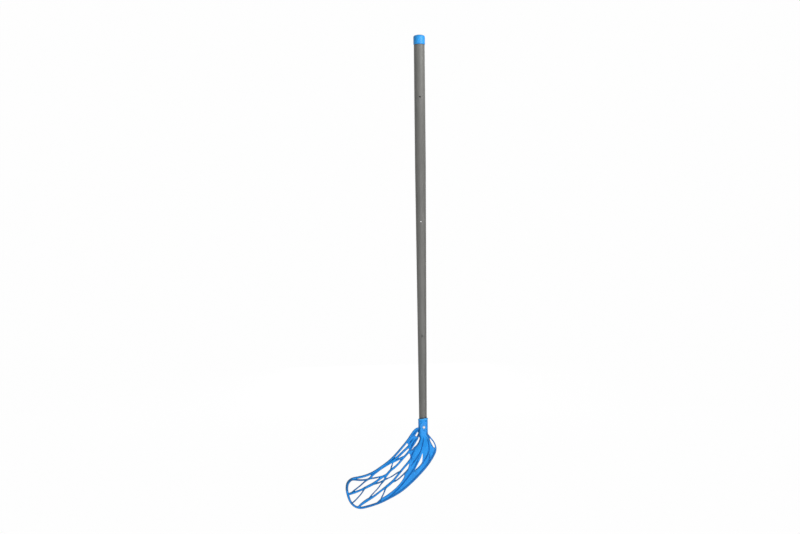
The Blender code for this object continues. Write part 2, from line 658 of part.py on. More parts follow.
def build_rivet(parts):
    """Blind rivet: a flanged sleeve with its tail set inside the shaft, and the mandrel left in it."""
    head, shank, tail = RIVET_HEAD_DIAMETER / 2, RIVET_DIAMETER / 2, RIVET_TAIL_DIAMETER / 2
    bore, land = RIVET_BORE_DIAMETER / 2, RIVET_BORE_DIAMETER / 2 + RIVET_HEAD_LAND
    face = PANEL_FACE + PLAY
    top = face + RIVET_HEAD_HEIGHT
    crown = RIVET_HEAD_HEIGHT - RIVET_HEAD_EDGE
    inside = rivet_inside() - PLAY
    end = inside - RIVET_TAIL_LENGTH
    sleeve = [(bore, top), (land, top)]
    for angle in (math.radians(30), math.radians(60), math.radians(90)):
        sleeve.append((land + (head - land) * math.sin(angle), top - crown * (1 - math.cos(angle))))
    sleeve += [(head, face), (shank, face), (shank, inside)]
    for angle in (math.radians(50), math.radians(90), math.radians(130)):
        swell = (tail - shank) * math.sin(angle)
        sleeve.append((shank + swell, inside - RIVET_TAIL_LENGTH * (1 - math.cos(angle)) / 2))
    sleeve += [((shank + bore) / 2, end), (bore, end)]
    pin, pull = MANDREL_DIAMETER / 2, MANDREL_HEAD_DIAMETER / 2
    break_face = top - MANDREL_SINK
    shoulder = end - PLAY
    foot = shoulder - MANDREL_HEAD_LENGTH
    stub = (
        (0.0, break_face), (pin - MANDREL_EDGE, break_face), (pin, break_face - MANDREL_EDGE),
        (pin, shoulder), (pull, shoulder), (pull, foot + MANDREL_HEAD_CHAMFER),
        (pull - MANDREL_HEAD_CHAMFER, foot), (0.0, foot),
    )
    body = turned("rivet_body", sleeve, SMALL_STEPS, parts, closed=True)
    core = turned("rivet_mandrel", stub, SMALL_STEPS, parts)
    for item in (body, core):
        item.location = Vector((RIVET_OFFSET, 0.0, -RIVET_Z_DROP)) * MM
        item.rotation_euler = (math.pi / 2, 0.0, 0.0)
    return body, core


def main():
    clear_scene()
    parts = new_collection("floorball_stick")
    bodies = new_collection("blade_bodies")
    blade_cutters = new_collection("blade_cutters")
    shaft_cutters = new_collection("shaft_cutters")
    shaft = build_shaft(parts, shaft_cutters)
    cap = build_end_cap(parts)
    body, core = build_rivet(parts)
    blade = build_blade(parts, bodies, blade_cutters)
    grey = make_material("grey_plastic", (0.13, 0.13, 0.125), 0.5)
    blue = make_material("blue_plastic", (0.02, 0.21, 0.72), 0.42)
    steel = make_material("rivet_metal", (0.62, 0.62, 0.6), 0.35, 1.0)
    for item, material in ((shaft, grey), (cap, blue), (blade, blue), (body, steel), (core, steel)):
        item.data.materials.clear()
        item.data.materials.append(material)
        shade_round(item)


main()
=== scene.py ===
"""Looks of the floorball stick: surfaces, finishes, floor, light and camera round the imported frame.

Lengths are in metres, and values in millimetres are written times MM. The flat top of the end cap is at
the origin, the shaft runs down along Z, the blade's toe points to -X and its front to -Y. A drop is a
depth below the cap's top.
"""
import json
import math

import bmesh
import bpy
import numpy as np
from mathutils import Matrix, Vector

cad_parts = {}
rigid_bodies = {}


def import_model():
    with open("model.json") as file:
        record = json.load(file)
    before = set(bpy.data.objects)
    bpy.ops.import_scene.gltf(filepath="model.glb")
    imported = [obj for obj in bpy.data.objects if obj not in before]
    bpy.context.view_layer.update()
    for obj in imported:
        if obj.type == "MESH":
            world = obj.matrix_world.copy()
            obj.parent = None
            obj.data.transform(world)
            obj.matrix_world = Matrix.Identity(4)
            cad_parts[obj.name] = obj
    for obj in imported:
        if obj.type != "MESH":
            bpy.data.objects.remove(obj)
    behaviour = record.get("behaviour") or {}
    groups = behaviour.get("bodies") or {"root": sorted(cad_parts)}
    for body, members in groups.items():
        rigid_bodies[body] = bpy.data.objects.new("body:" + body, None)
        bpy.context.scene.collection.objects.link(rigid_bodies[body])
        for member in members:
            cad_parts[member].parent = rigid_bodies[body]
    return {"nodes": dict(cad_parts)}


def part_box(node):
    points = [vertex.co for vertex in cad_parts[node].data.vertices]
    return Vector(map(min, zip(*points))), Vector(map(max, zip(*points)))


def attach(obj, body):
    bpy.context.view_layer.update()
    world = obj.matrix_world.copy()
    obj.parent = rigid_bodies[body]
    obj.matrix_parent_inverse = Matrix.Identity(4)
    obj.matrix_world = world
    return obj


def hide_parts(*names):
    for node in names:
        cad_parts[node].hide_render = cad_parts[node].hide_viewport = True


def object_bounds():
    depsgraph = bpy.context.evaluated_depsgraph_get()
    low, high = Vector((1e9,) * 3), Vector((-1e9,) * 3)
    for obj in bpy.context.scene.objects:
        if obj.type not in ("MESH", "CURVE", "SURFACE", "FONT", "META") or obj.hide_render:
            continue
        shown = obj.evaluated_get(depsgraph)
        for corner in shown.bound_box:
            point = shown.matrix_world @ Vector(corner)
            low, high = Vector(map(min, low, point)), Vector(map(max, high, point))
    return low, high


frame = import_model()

MM = 0.001
CAD_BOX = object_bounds()

# The photograph's view: focal length in pixels, the camera's place, the stick's lean, and the nearest and
# farthest distance seen
IMAGE_WIDTH = 800
FOCAL_PIXELS = 1200.0
SENSOR_WIDTH_MM = 36.0
CAMERA_PLACE = (-0.0453, -2.538, -0.4898)
STICK_LEAN = math.radians(0.576)
CLIP_START = 0.05
CLIP_END = 50.0

# Boxes of the CAD nodes that the turned pieces stand for, and the play between pieces that meet
SHAFT_LOW, SHAFT_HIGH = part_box("shaft")
CAP_LOW, CAP_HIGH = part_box("end_cap")
RIVET_LOW, RIVET_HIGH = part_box("rivet_body")
MANDREL_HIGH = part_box("rivet_mandrel")[1]
PLAY = 0.3 * MM
# Angles in degrees over which an edge counts as sharp, on the large pieces and on the rivet
SHARP_ANGLE = 30.0
RIVET_SHARP_ANGLE = 40.0

# Mouth of the blade's socket: its height on the axis, its rise towards +X and the lip under it
MOUTH_Z = -810.0 * MM
MOUTH_RISE = math.tan(math.radians(6.5))
LIP_HEIGHT = 3.8 * MM

# Shaft tube; each cross hole is (drop, radius, through both walls)
GRIP_RADIUS = SHAFT_HIGH.x
GRIP_END_DROP = 274.0 * MM
TIP_RADIUS = 7.95 * MM
TUBE_WALL = 2.0 * MM
TUBE_EDGE = 0.5 * MM
TUBE_EDGE_STEPS = 4
TUBE_SEGMENTS = 128
HOLES = ((132.0 * MM, 1.8 * MM, True), (394.0 * MM, 1.5 * MM, True), (636.0 * MM, 1.5 * MM, False))
HOLE_FLARE = 0.3 * MM
HOLE_MARGIN = 2.0 * MM
HOLE_SEGMENTS = 40

# End cap and its barbed spigot; the corner's arc starts at an angle from the vertical, in degrees
CAP_RADIUS = CAP_HIGH.x
CAP_HEIGHT = 20.0 * MM
CAP_FLAT_RADIUS = 7.0 * MM
CAP_CORNER = 3.6 * MM
CAP_CORNER_START = 8.0
CAP_CORNER_STEPS = 12
CAP_CROWN = 0.7 * MM
CAP_FOOT = 0.8 * MM
CAP_FOOT_STEPS = 6
CAP_WALL = 2.2 * MM
CAP_BORE_CORNER = 2.0 * MM
CAP_SEGMENTS = 96
SPIGOT_RELIEF = 0.7 * MM
SPIGOT_NOSE = 1.2 * MM
SPIGOT_BARBS = 3
BARB_LIP = 0.3 * MM
BARB_LENGTH = 1.8 * MM

# Blade surface: size of the remeshed cells, pairs of relaxing steps out and back, and share of the faces
# that is kept
BLADE_CELL = 0.35 * MM
RELAX_PAIRS = 4
RELAX_OUT = 0.55
RELAX_BACK = -0.56
BLADE_FACE_SHARE = 0.24
# Hollows: steps of the smoothing that they are measured against, noise left out, depth that counts as
# full, and how much they deepen
HOLLOW_STEPS = 60
HOLLOW_FLOOR = 0.06 * MM
HOLLOW_DEPTH = 0.34 * MM
HOLLOW_DEEPENING = 0.7
# Blade lines as (reach towards the toe, drop below the socket's level) in millimetres, as in the CAD:
# grooves of the fan, short creases beyond the openings' tips and along the rim, the sole's edge, and
# the thin ribs, which are given a murky painted shade
SOCKET_DROP = 811.0 * MM
GROOVES = (
    ((14.8, 26.2), (18.2, 30.7), (20.6, 34.2), (23.2, 37.0)),
    ((21.0, 41.8), (24.2, 45.2), (27.9, 49.9), (30.0, 52.8)),
    ((13.2, 41.2), (16.4, 45.1), (21.0, 51.6), (25.2, 58.6), (28.2, 64.4)),
    ((17.6, 63.8), (21.0, 69.2), (24.0, 74.6), (25.7, 80.4), (26.0, 87.0)),
    ((-1.0, 39.2), (0.8, 50.0), (3.2, 61.0), (6.8, 70.5), (12.0, 79.0), (17.0, 86.4), (22.0, 93.0),
     (26.0, 99.0)),
    ((-7.4, 39.2), (-10.3, 46.2), (-11.8, 56.0), (-12.0, 67.0), (-8.8, 76.4), (-3.2, 86.0), (1.2, 94.0)),
    ((-12.9, 75.0), (-12.6, 83.0), (-10.6, 92.0)),
    ((9.0, 79.0), (13.4, 91.0), (18.6, 102.0), (25.0, 112.4), (34.0, 124.0), (43.0, 135.2),
     (52.2, 145.6), (62.0, 155.0), (74.5, 166.0)),
)
CREASES = (
    ((18.2, 108.6), (22.4, 112.2)),
    ((24.4, 64.9), (27.4, 67.2)),
    ((131.6, 185.4), (120.0, 183.0), (109.5, 179.2), (101.0, 176.0), (90.5, 171.4)),
)
SOLE_LINE = (
    (119.5, 184.7), (103.7, 180.1), (91.0, 175.5), (72.6, 166.6), (51.5, 154.8), (30.6, 138.4),
    (9.3, 117.6), (-8.7, 97.1), (-21.5, 77.3), (-25.7, 67.5),
)
THIN_RIBS = (
    ((118.0, 127.6), (123.5, 131.3), (133.0, 139.6), (146.0, 149.6), (153.0, 155.0)),
    ((84.0, 130.4), (89.5, 136.8), (95.5, 145.0), (103.5, 153.5), (110.5, 161.0), (116.0, 167.5)),
    ((66.3, 97.5), (68.0, 102.5), (69.5, 107.5)),
    ((147.5, 127.6), (138.0, 128.6), (130.0, 128.7), (121.5, 128.0), (113.5, 125.9), (99.0, 123.6)),
    ((106.0, 137.6), (101.0, 136.6), (92.5, 133.8), (84.0, 129.4), (76.5, 125.8)),
    ((69.0, 122.6), (61.0, 117.6), (55.0, 113.7), (47.5, 110.2)),
    ((61.0, 131.8), (55.0, 128.6), (49.0, 123.6), (43.5, 118.6), (38.0, 113.1), (33.0, 107.2)),
    ((79.0, 144.5), (82.1, 151.2), (85.0, 158.2), (88.2, 164.2), (92.0, 173.0)),
    ((123.5, 144.5), (128.0, 151.8), (133.7, 159.6), (140.2, 166.7), (147.2, 173.7), (153.0, 178.0)),
)
# Walls that lie in shade, painted murky, each as (half width in millimetres, murky painted shade, line)
SHADED_WALLS = (
    (2.0, 0.8, ((7.9, 22.1), (8.8, 26.4), (10.3, 31.9), (12.1, 37.3))),
    (1.6, 0.6, ((2.0, 93.2), (5.3, 98.3), (10.4, 103.6), (18.5, 110.4))),
    (1.6, 0.6, ((7.6, 47.0), (11.6, 55.4), (16.2, 61.1), (22.4, 66.2))),
    (1.6, 0.45, ((-21.6, 54.5), (-24.0, 59.7), (-24.5, 63.5))),
    (2.9, 0.8, ((163.4, 147.5), (163.4, 140.0), (161.6, 133.6), (157.6, 129.2), (152.0, 126.8))),
)
# Half widths of the marks along those lines
GROOVE_HALF_WIDTH = 1.4 * MM
CREASE_HALF_WIDTH = 1.1 * MM
SOLE_HALF_WIDTH = 6.5 * MM
SOLE_BAND_HALF_WIDTH = 3.6 * MM
THIN_HALF_WIDTH = 2.2 * MM
# How steeply marks rise from their edges to a level middle: near the sole, on thin ribs, in shaded
# bands and on round spots, and from upright faces to those that look up or down
SOLE_SLOPE = 2.0
THIN_SLOPE = 2.2
SHADE_SLOPE = 1.8
SPOT_SLOPE = 1.5
UPRIGHT_SLOPE = 2.0
# How much a surface has to face the front or the back to carry a groove or a spot, and face down to
# belong to the sole's underside
GROOVE_FACING = 0.35
SPOT_FACING = 0.6
SOLE_FACING = 0.4
# Relief: depth of grooves and creases, swelling of the thin ribs, and share of the hollows' deepening
# that is left out near the sole
GROOVE_DEEPENING = 0.3 * MM
CREASE_DEPTH = 0.5 * MM
THIN_SWELL = 0.18 * MM
SOLE_EVENING = 0.7
# Dimple under the rivet and gate mark behind the neck: place, radius, and depth below the surface
DIMPLE = (1.4 * MM, -834.6 * MM, 1.3 * MM, 0.7 * MM)
GATE_MARK = (3.0 * MM, -868.0 * MM, 2.2 * MM, -0.35 * MM)
# Shade from 0 to 1: the most in corners and lines, how fast lines and creases reach it, what corners
# lose near the sole, and the shade of the dimple, the lip's shadow, the rivet's rim and the sole's edge
DARKEST = 0.72
LINE_GAIN = 1.2
CREASE_GAIN = 1.2
SOLE_LIGHTENING = 0.6
DIMPLE_SHADE = 0.7
UNDER_LIP_SHADE = 0.5
RIVET_RIM_SHADE = 0.6
SOLE_SHADE = 0.45
# Sides: how fast they darken as they turn away, the facing from which they do, more on those that look
# down, and their shade, deeper on those that look up. They begin below the socket
SIDE_SLOPE = 2.2
SIDE_FACING = 0.85
SIDE_FACING_BELOW = 0.1
SIDE_SHADE = 0.62
SIDE_SHADE_ABOVE = 0.18
SIDES_BELOW_MOUTH = 30.0 * MM
# Painted shadow under the lip and painted shade round the rivet: place below the lip, and half width of
# both
UNDER_LIP_DROP = 0.5 * MM
PAINTED_SHADE_HALF_WIDTH = 0.9 * MM
# Murky painted shade on the thin ribs, and the share of the sides' painted shade that counts as murky
THIN_RIB_SHADE = 0.6
SIDE_MURKY_SHADE = 0.4
# Painted highlight on the socket's lip, from a place in millimetres above its lower edge, and wear on the
# sole below a drop
LIP_PAINTED_HIGHLIGHT = 0.6
LIP_HIGHLIGHT_START = 0.8
SOLE_WEAR = 0.35
SOLE_DROP = 900.0 * MM

# Rivet: head, shank, tail and bore of the sleeve, with the rounds of its head as (radius, depth) in
# millimetres from the bore's dip out to the rim
RIVET_X = (RIVET_LOW.x + RIVET_HIGH.x) / 2
RIVET_Z = (RIVET_LOW.z + RIVET_HIGH.z) / 2
RIVET_HEAD = (RIVET_HIGH.x - RIVET_LOW.x) / 2
RIVET_HEAD_HEIGHT = 1.0 * MM
RIVET_HEAD_ROUNDS = ((1.3, 0.16), (1.6, 0.02), (1.9, 0.0), (2.3, 0.12), (2.7, 0.36), (2.95, 0.6))
RIVET_DIP = 0.4 * MM
RIVET_RIM_DEPTH = 0.85 * MM
RIVET_RIM_TAPER = 0.05 * MM
RIVET_SHANK = 1.6 * MM
RIVET_TAIL = 2.4 * MM
RIVET_TAIL_LENGTH = 3.2 * MM
RIVET_TAIL_STEPS = 12
RIVET_TAIL_FULLNESS = 0.8
RIVET_TAIL_EDGE = 0.2 * MM
RIVET_BORE = 1.15 * MM
RIVET_SEGMENTS = 64
# Mandrel in the sleeve: its torn end, as (radius, depth) in millimetres, its pin and its head inside
MANDREL_SINK = 0.2 * MM
MANDREL_TORN_ROUNDS = ((0.3, 0.02), (0.6, 0.1))
MANDREL_TORN_DEPTH = 0.3 * MM
MANDREL_RADIUS = 0.95 * MM
MANDREL_HEAD = 1.4 * MM
MANDREL_HEAD_RADIUS = RIVET_SHANK - 0.3 * MM
MANDREL_FOOT_RADIUS = RIVET_SHANK - 0.7 * MM
MANDREL_FOOT_HEIGHT = 0.4 * MM

# Colours as linear RGB; a surface's clouds run between two tones
TUBE_TONES = ((0.118, 0.118, 0.11), (0.146, 0.144, 0.136))
TUBE_STREAK_COLOUR = (0.095, 0.095, 0.089)
TUBE_SCUFF_COLOUR = (0.23, 0.23, 0.22)
# Painted shadow on the tube at the socket's mouth and under the cap
TUBE_PAINTED_SHADOW_COLOUR = (0.01, 0.018, 0.034)
CAP_TONES = ((0.0155, 0.233, 0.615), (0.024, 0.274, 0.66))
BLADE_TONES = ((0.007, 0.27, 0.78), (0.012, 0.32, 0.88))
SLEEVE_COLOUR = (0.6, 0.62, 0.66)
MANDREL_COLOUR = (0.62, 0.64, 0.68)
DENTED_SHARE = 0.8
# Painted shade at the rim of the rivet's head
RIVET_PAINTED_SHADE_COLOUR = (0.14, 0.2, 0.28)
FLOOR_TONES = ((0.84, 0.84, 0.84), (0.88, 0.88, 0.88))
# Blue plastic: what is left of the first tone in murky and in dark painted shade, channel by channel, and
# how the second tone pales on the lip's painted highlight and where it is worn
MURKY_SHADE_SHARES = (0.6, 0.27, 0.23)
DARK_SHARES = (0.2, 0.32, 0.45)
PALE_SHARE = 0.75
PALE_LIFT = (0.1, 0.33, 0.33)
# Noise in the surfaces: turns per metre along X, Y and Z, detail and roughness
TUBE_STREAKS = ((900.0, 900.0, 4.0), 4.0, 0.6)
TUBE_CLOUDS = ((45.0, 45.0, 14.0), 3.0, 0.5)
TUBE_SPECKS = ((2600.0, 2600.0, 1500.0), 2.0, 0.5)
TUBE_PATCHES = ((160.0, 160.0, 700.0), 5.0, 0.7)
TUBE_POLISH = ((300.0, 300.0, 30.0), 4.0, 0.5)
BLUE_CLOUDS = ((38.0, 38.0, 38.0), 3.0, 0.5)
BLUE_FLOW = ((120.0, 60.0, 50.0), 4.0, 0.6)
BLUE_SCUFFS = ((700.0, 700.0, 160.0), 5.0, 0.7)
CAP_GRAIN = ((1600.0, 1600.0, 1600.0), 3.0, 0.6)
BLADE_GRAIN = ((1400.0, 1400.0, 1400.0), 3.0, 0.6)
METAL_DENTS = ((900.0, 900.0, 900.0), 3.0, 0.5)
METAL_GRAIN = ((5000.0, 5000.0, 5000.0), 3.0, 0.5)
FLOOR_CLOUDS = ((3.0, 3.0, 3.0), 2.0, 0.5)
# Spans of that noise over which a look goes from none to full; satin is the sum of two
CLOUD_SPAN = (0.3, 0.7)
STREAK_SPAN = (0.35, 0.7)
SPECK_SPAN = (0.45, 0.6)
PATCH_SPAN = (0.6, 0.72)
SCUFF_SPAN = (0.42, 0.6)
SATIN_SPAN = (0.7, 1.3)
DENT_SPAN = (0.35, 0.65)
# The most that streaks and scuffs show on the tube, and the least and most that wear and the lip's painted
# highlight show in scuffs
STREAK_SHARE = 0.35
TUBE_SCUFF_SHARE = 0.35
WEAR_AND_HIGHLIGHT_SHARES = (0.5, 1.0)
# Roughness from the smoothest to the roughest place, and what wear adds to it
TUBE_ROUGHNESS = (0.44, 0.58)
BLUE_ROUGHNESS = (0.38, 0.54)
SLEEVE_ROUGHNESS = (0.42, 0.58)
MANDREL_ROUGHNESS = (0.45, 0.6)
WORN_ROUGHNESS = 0.12
FLOOR_ROUGHNESS = 0.9
# How much light glances off the tube, the blue plastic and the floor
TUBE_GLOSS = 0.4
BLUE_GLOSS = 0.3
FLOOR_GLOSS = 0.1
# Height and strength of the relief in the surfaces: drawing lines and specks of the tube, grain, flow
# and mould seam of the plastic, and dents of the metal
STREAK_RELIEF = (0.05 * MM, 0.5)
SPECK_RELIEF = (0.03 * MM, 0.35)
GRAIN_RELIEF = (0.04 * MM, 0.4)
FLOW_RELIEF = (0.2 * MM, 0.2)
SEAM_RELIEF = (0.1 * MM, 0.6)
DENT_RELIEF = (0.05 * MM, 0.4)
# Half widths of the mould seam's crest and foot
SEAM_CREST = 0.05 * MM
SEAM_FOOT = 0.25 * MM
# Painted shadow lines on the tube: heights above the mouth between which one fades, and the other's foot
# and height under the cap. Painted shade on the rivet's head: how far inside the rim it starts and is full
MOUTH_SHADOW_FULL = 1.4 * MM
MOUTH_SHADOW_END = 3.2 * MM
CAP_SHADOW_FOOT = -21.4 * MM
CAP_SHADOW_HEIGHT = 1.2 * MM
RIVET_SHADE_START = 0.9 * MM
RIVET_SHADE_FULL = 0.2 * MM
# How dark the painted shadow on the tube and the painted shade on the rivet get
PAINTED_SHADE_SHARE = 0.75

# Floor that sweeps up into a backdrop, and the share of plain white in it where it is seen
FLOOR_GAP = 0.2 * MM
FLOOR_HALF_WIDTH = 6.0
FLOOR_FRONT = -6.0
WALL_DISTANCE = 3.0
WALL_HEIGHT = 6.0
SWEEP_RADIUS = 1.2
SWEEP_STEPS = 24
WHITE_SHARE = 0.985

# Studio light; each lamp is (name, place, target, size, power in watts, whether gloss reflects it)
WORLD_STRENGTH = 0.24
LAMPS = (
    ("front", (0.35, -2.45, -0.55), (-0.02, 0.0, -0.6), 0.6, 23.0, True),
    ("right", (1.8, -1.6, -0.7), (-0.02, 0.0, -0.6), 0.6, 17.0, True),
    ("left", (-1.8, -1.6, -0.7), (-0.02, 0.0, -0.6), 0.6, 6.0, True),
    ("top", (0.2, -0.2, 0.04), (0.0, 0.0, -0.1), 0.12, 0.65, True),
    ("back", (-0.1, 2.3, -0.55), (-0.02, 0.0, -0.6), 0.8, 22.0, False),
)


def new_object(name, mesh):
    item = bpy.data.objects.new(name, mesh)
    bpy.context.scene.collection.objects.link(item)
    return item


def finish_piece(item, node, material):
    """Let a piece stand for a CAD node, ride on the stick and carry its material."""
    item.data.materials.clear()
    item.data.materials.append(material)
    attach(item, "root")
    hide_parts(node)


def turned_mesh(name, profile, segments, closed=False):
    """Turn (radius, height) points about Z; the points run down the outer side."""
    shape = bmesh.new()
    rings = []
    for radius, height in profile:
        count = segments if radius > 0.0 else 1
        turns = [math.tau * step / segments for step in range(count)]
        rings.append([shape.verts.new((radius * math.cos(turn), radius * math.sin(turn), height))
                      for turn in turns])
    pairs = list(zip(rings, rings[1:]))
    if closed:
        pairs.append((rings[-1], rings[0]))
    for upper, lower in pairs:
        for step in range(segments):
            after = (step + 1) % segments
            corners = [upper[step % len(upper)], lower[step % len(lower)],
                       lower[after % len(lower)], upper[after % len(upper)]]
            unique = list(dict.fromkeys(corners))
            if len(unique) > 2:
                shape.faces.new(unique)
    bmesh.ops.recalc_face_normals(shape, faces=shape.faces)
    mesh = bpy.data.meshes.new(name)
    shape.to_mesh(mesh)
    shape.free()
    return mesh


def arc(centre_radius, centre_height, radius, start, end, steps):
    """Points of a round corner between two angles from the vertical, in degrees."""
    points = []
    for step in range(steps + 1):
        angle = math.radians(start + (end - start) * step / steps)
        points.append((centre_radius + radius * math.sin(angle), centre_height + radius * math.cos(angle)))
    return points


def smooth(item, angle=SHARP_ANGLE):
    """Shade a piece smoothly, apart from edges that turn by more than an angle in degrees."""
    item.data.shade_smooth()
    item.data.set_sharp_from_angle(angle=math.radians(angle))


def apply_modifiers(item):
    """Give an object the mesh that its modifiers make, and take them off."""
    bpy.context.view_layer.update()
    evaluated = item.evaluated_get(bpy.context.evaluated_depsgraph_get())
    mesh = bpy.data.meshes.new_from_object(evaluated)
    item.modifiers.clear()
    item.data = mesh


def along_y(x, z):
    """Matrix that lays a turned shape along Y, with its top towards the front."""
    return Matrix.Translation((x, 0.0, z)) @ Matrix.Rotation(math.pi / 2, 4, "X")


class Nodes:
    """Short calls for building a node material in the stick's own coordinates."""

    def __init__(self, name):
        self.material = bpy.data.materials.new(name)
        self.material.use_nodes = True
        self.tree = self.material.node_tree
        self.shader = self.tree.nodes["Principled BSDF"]
        self.place = self.tree.nodes.new("ShaderNodeTexCoord").outputs["Object"]

    def add(self, kind, **settings):
        node = self.tree.nodes.new(kind)
        for key, value in settings.items():
            setattr(node, key, value)
        return node

    def set(self, socket, value):
        """Link an output to a socket, or write a number or a colour on it."""
        if isinstance(value, bpy.types.NodeSocket):
            self.tree.links.new(value, socket)
        elif isinstance(value, tuple) and socket.type == "RGBA":
            socket.default_value = (*value, 1.0)
        else:
            socket.default_value = value

    def use(self, **values):
        """Set the shader's sockets; an underscore in a name stands for a space."""
        for name, value in values.items():
            self.set(self.shader.inputs[name.replace("_", " ")], value)

    def noise(self, scale, detail, roughness):
        """Noise with its own scale along each axis, in turns per metre, about 0.5 on average."""
        mapping = self.add("ShaderNodeMapping")
        self.set(mapping.inputs["Vector"], self.place)
        self.set(mapping.inputs["Scale"], scale)
        node = self.add("ShaderNodeTexNoise")
        self.set(node.inputs["Vector"], mapping.outputs["Vector"])
        self.set(node.inputs["Scale"], 1.0)
        self.set(node.inputs["Detail"], detail)
        self.set(node.inputs["Roughness"], roughness)
        return node.outputs["Fac"]

    def range(self, value, low, high, to_low=0.0, to_high=1.0):
        """Turn a span of values into another, and keep to its ends beyond it."""
        node = self.add("ShaderNodeMapRange")
        for name, number in (("Value", value), ("From Min", low), ("From Max", high),
                             ("To Min", to_low), ("To Max", to_high)):
            self.set(node.inputs[name], number)
        return node.outputs["Result"]

    def math(self, operation, first, second=0.0):
        node = self.add("ShaderNodeMath", operation=operation)
        self.set(node.inputs[0], first)
        self.set(node.inputs[1], second)
        return node.outputs["Value"]

    def axes(self):
        """The place along X, Y and Z as three outputs."""
        node = self.add("ShaderNodeSeparateXYZ")
        self.set(node.inputs["Vector"], self.place)
        return node.outputs

    def mix(self, factor, first, second):
        """Blend two colours, given as linear RGB or as outputs."""
        node = self.add("ShaderNodeMix", data_type="RGBA")
        self.set(node.inputs[0], factor)
        colours = [socket for socket in node.inputs if socket.type == "RGBA"]
        self.set(colours[0], first)
        self.set(colours[1], second)
        return next(socket for socket in node.outputs if socket.type == "RGBA")

    def bump(self, height, distance, strength, below=None):
        """Relief seen in the shading only, laid over the relief below it."""
        node = self.add("ShaderNodeBump")
        for name, value in (("Height", height), ("Distance", distance), ("Strength", strength)):
            self.set(node.inputs[name], value)
        if below is not None:
            self.set(node.inputs["Normal"], below)
        return node.outputs["Normal"]


def shaft_plastic():
    """Extruded grey plastic: lengthwise drawing lines, faint clouds, a few handling scuffs, and painted
    shadow lines at the socket's mouth and under the cap.
    """
    nodes = Nodes("shaft_plastic")
    streaks = nodes.noise(*TUBE_STREAKS)
    clouds = nodes.range(nodes.noise(*TUBE_CLOUDS), *CLOUD_SPAN)
    specks = nodes.noise(*TUBE_SPECKS)
    base = nodes.mix(clouds, *TUBE_TONES)
    streaked = nodes.mix(nodes.range(streaks, *STREAK_SPAN, 0.0, STREAK_SHARE), base, TUBE_STREAK_COLOUR)
    patches = nodes.range(nodes.noise(*TUBE_PATCHES), *PATCH_SPAN)
    scuffs = nodes.math("MULTIPLY", patches, nodes.range(specks, *SPECK_SPAN, 0.0, TUBE_SCUFF_SHARE))
    scuffed = nodes.mix(scuffs, streaked, TUBE_SCUFF_COLOUR)
    across, _, height = nodes.axes()
    # Painted shadow lines: just above the socket's mouth and just under the cap
    mouth = nodes.math("SUBTRACT", height, nodes.math("MULTIPLY", across, MOUTH_RISE))
    shadow_at_mouth = nodes.range(mouth, MOUTH_Z + MOUTH_SHADOW_FULL, MOUTH_Z + MOUTH_SHADOW_END, 1.0, 0.0)
    shadow_under_cap = nodes.range(height, CAP_SHADOW_FOOT, CAP_SHADOW_FOOT + CAP_SHADOW_HEIGHT, 0.0, PAINTED_SHADE_SHARE)
    lines = nodes.bump(streaks, *STREAK_RELIEF)
    painted_shade = nodes.math("MAXIMUM", shadow_at_mouth, shadow_under_cap)
    nodes.use(Base_Color=nodes.mix(painted_shade, scuffed, TUBE_PAINTED_SHADOW_COLOUR),
              Roughness=nodes.range(nodes.noise(*TUBE_POLISH), *CLOUD_SPAN, *TUBE_ROUGHNESS),
              Specular_IOR_Level=TUBE_GLOSS,
              Normal=nodes.bump(specks, *SPECK_RELIEF, lines))
    return nodes.material


def blue_plastic(name, tones, grain):
    """Moulded blue plastic: soft gloss, flow clouds, fine grain, a mould seam, painted shade in hollows,
    lines and on walls, murky painted shade on thin ribs, wear, and a painted highlight on the socket's lip.
    """
    nodes = Nodes(name)
    deep, full = tones
    clouds = nodes.range(nodes.noise(*BLUE_CLOUDS), *CLOUD_SPAN)
    flow = nodes.noise(*BLUE_FLOW)
    fine = nodes.noise(*grain)
    # Painted shade in murky and dark tones, and a paler tone for wear and the lip's painted highlight
    murky_shade_colour = tuple(share * channel for share, channel in zip(MURKY_SHADE_SHARES, deep))
    pale = tuple(PALE_SHARE * channel + lift for channel, lift in zip(full, PALE_LIFT))
    dark = tuple(share * channel for share, channel in zip(DARK_SHARES, deep))
    shade, murky_shade, wear_and_highlight = (nodes.add("ShaderNodeAttribute", attribute_name=layer).outputs["Fac"]
                         for layer in ("shade", "murky_shade", "wear_and_highlight"))
    scuffs = nodes.range(nodes.noise(*BLUE_SCUFFS), *SCUFF_SPAN, *WEAR_AND_HIGHLIGHT_SHARES)
    scuffed_wear_and_highlight = nodes.math("MULTIPLY", wear_and_highlight, scuffs)
    colour = nodes.mix(scuffed_wear_and_highlight, nodes.mix(clouds, deep, full), pale)
    seam = nodes.range(nodes.math("ABSOLUTE", nodes.axes()[1]), SEAM_CREST, SEAM_FOOT, 1.0, 0.0)
    ripple = nodes.bump(flow, *FLOW_RELIEF, nodes.bump(seam, *SEAM_RELIEF))
    satin = nodes.range(nodes.math("ADD", flow, fine), *SATIN_SPAN, *BLUE_ROUGHNESS)
    nodes.use(Base_Color=nodes.mix(murky_shade, nodes.mix(shade, colour, dark), murky_shade_colour),
              Roughness=nodes.math("ADD", satin, nodes.math("MULTIPLY", scuffed_wear_and_highlight, WORN_ROUGHNESS)),
              Specular_IOR_Level=BLUE_GLOSS,
              Normal=nodes.bump(fine, *GRAIN_RELIEF, ripple))
    return nodes.material


